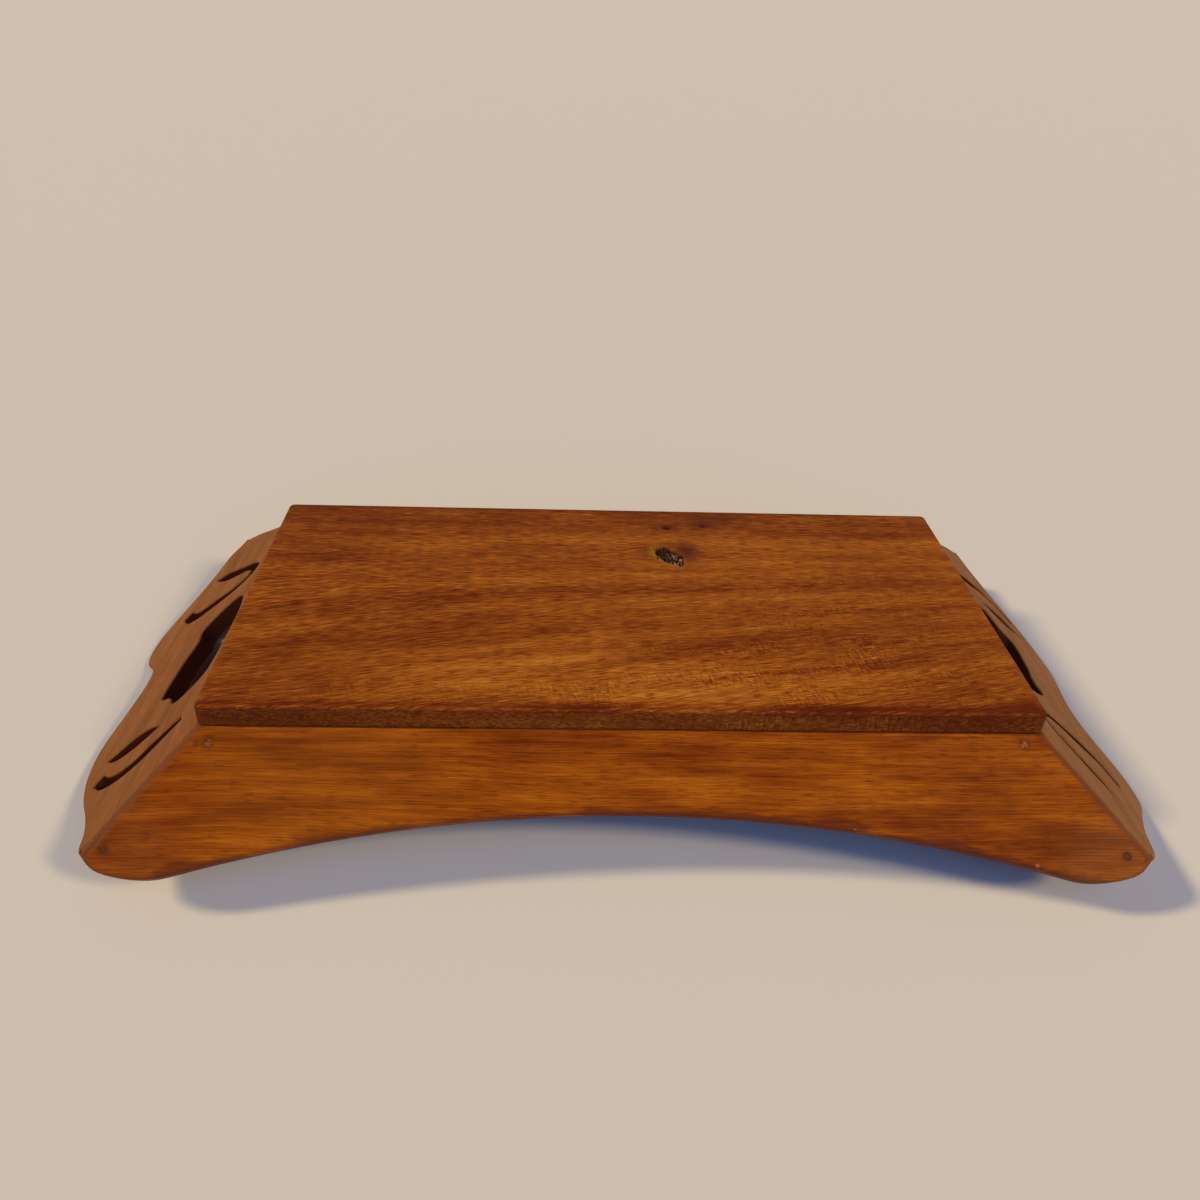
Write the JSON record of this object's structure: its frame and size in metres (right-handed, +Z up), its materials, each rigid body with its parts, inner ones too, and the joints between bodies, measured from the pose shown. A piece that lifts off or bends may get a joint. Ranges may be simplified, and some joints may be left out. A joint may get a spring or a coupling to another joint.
{
  "type": "flared wooden tray",
  "caption": "Flared wooden tray standing upside down: flat base board on top, arched long sides, pierced lobed ends with hand holes, and mitred corners that are nailed.",
  "frame": {"origin": "on the table, under the middle of the base board: the bottom centre of the bounding box", "axes": "+Z up, out of the base board's outer face; +X along the long sides, to the right in the picture; +Y away from the camera"},
  "size_m": [0.4294, 0.234, 0.0652],
  "materials": {
    "board_wood": "satin oiled reddish hardwood",
    "side_wood": "satin varnished orange-brown hardwood",
    "end_wood": "matt sanded tan hardwood",
    "nail_steel": "dull darkened steel"
  },
  "bodies": {
    "root": {"base_board": "board_wood", "front_side": "side_wood", "back_side": "side_wood", "left_end": "end_wood", "right_end": "end_wood", "front_left_upper_nail": "nail_steel", "front_left_lower_nail": "nail_steel", "front_right_upper_nail": "nail_steel", "front_right_lower_nail": "nail_steel", "back_left_upper_nail": "nail_steel", "back_left_lower_nail": "nail_steel", "back_right_upper_nail": "nail_steel", "back_right_lower_nail": "nail_steel"}
  },
  "joints": []
}
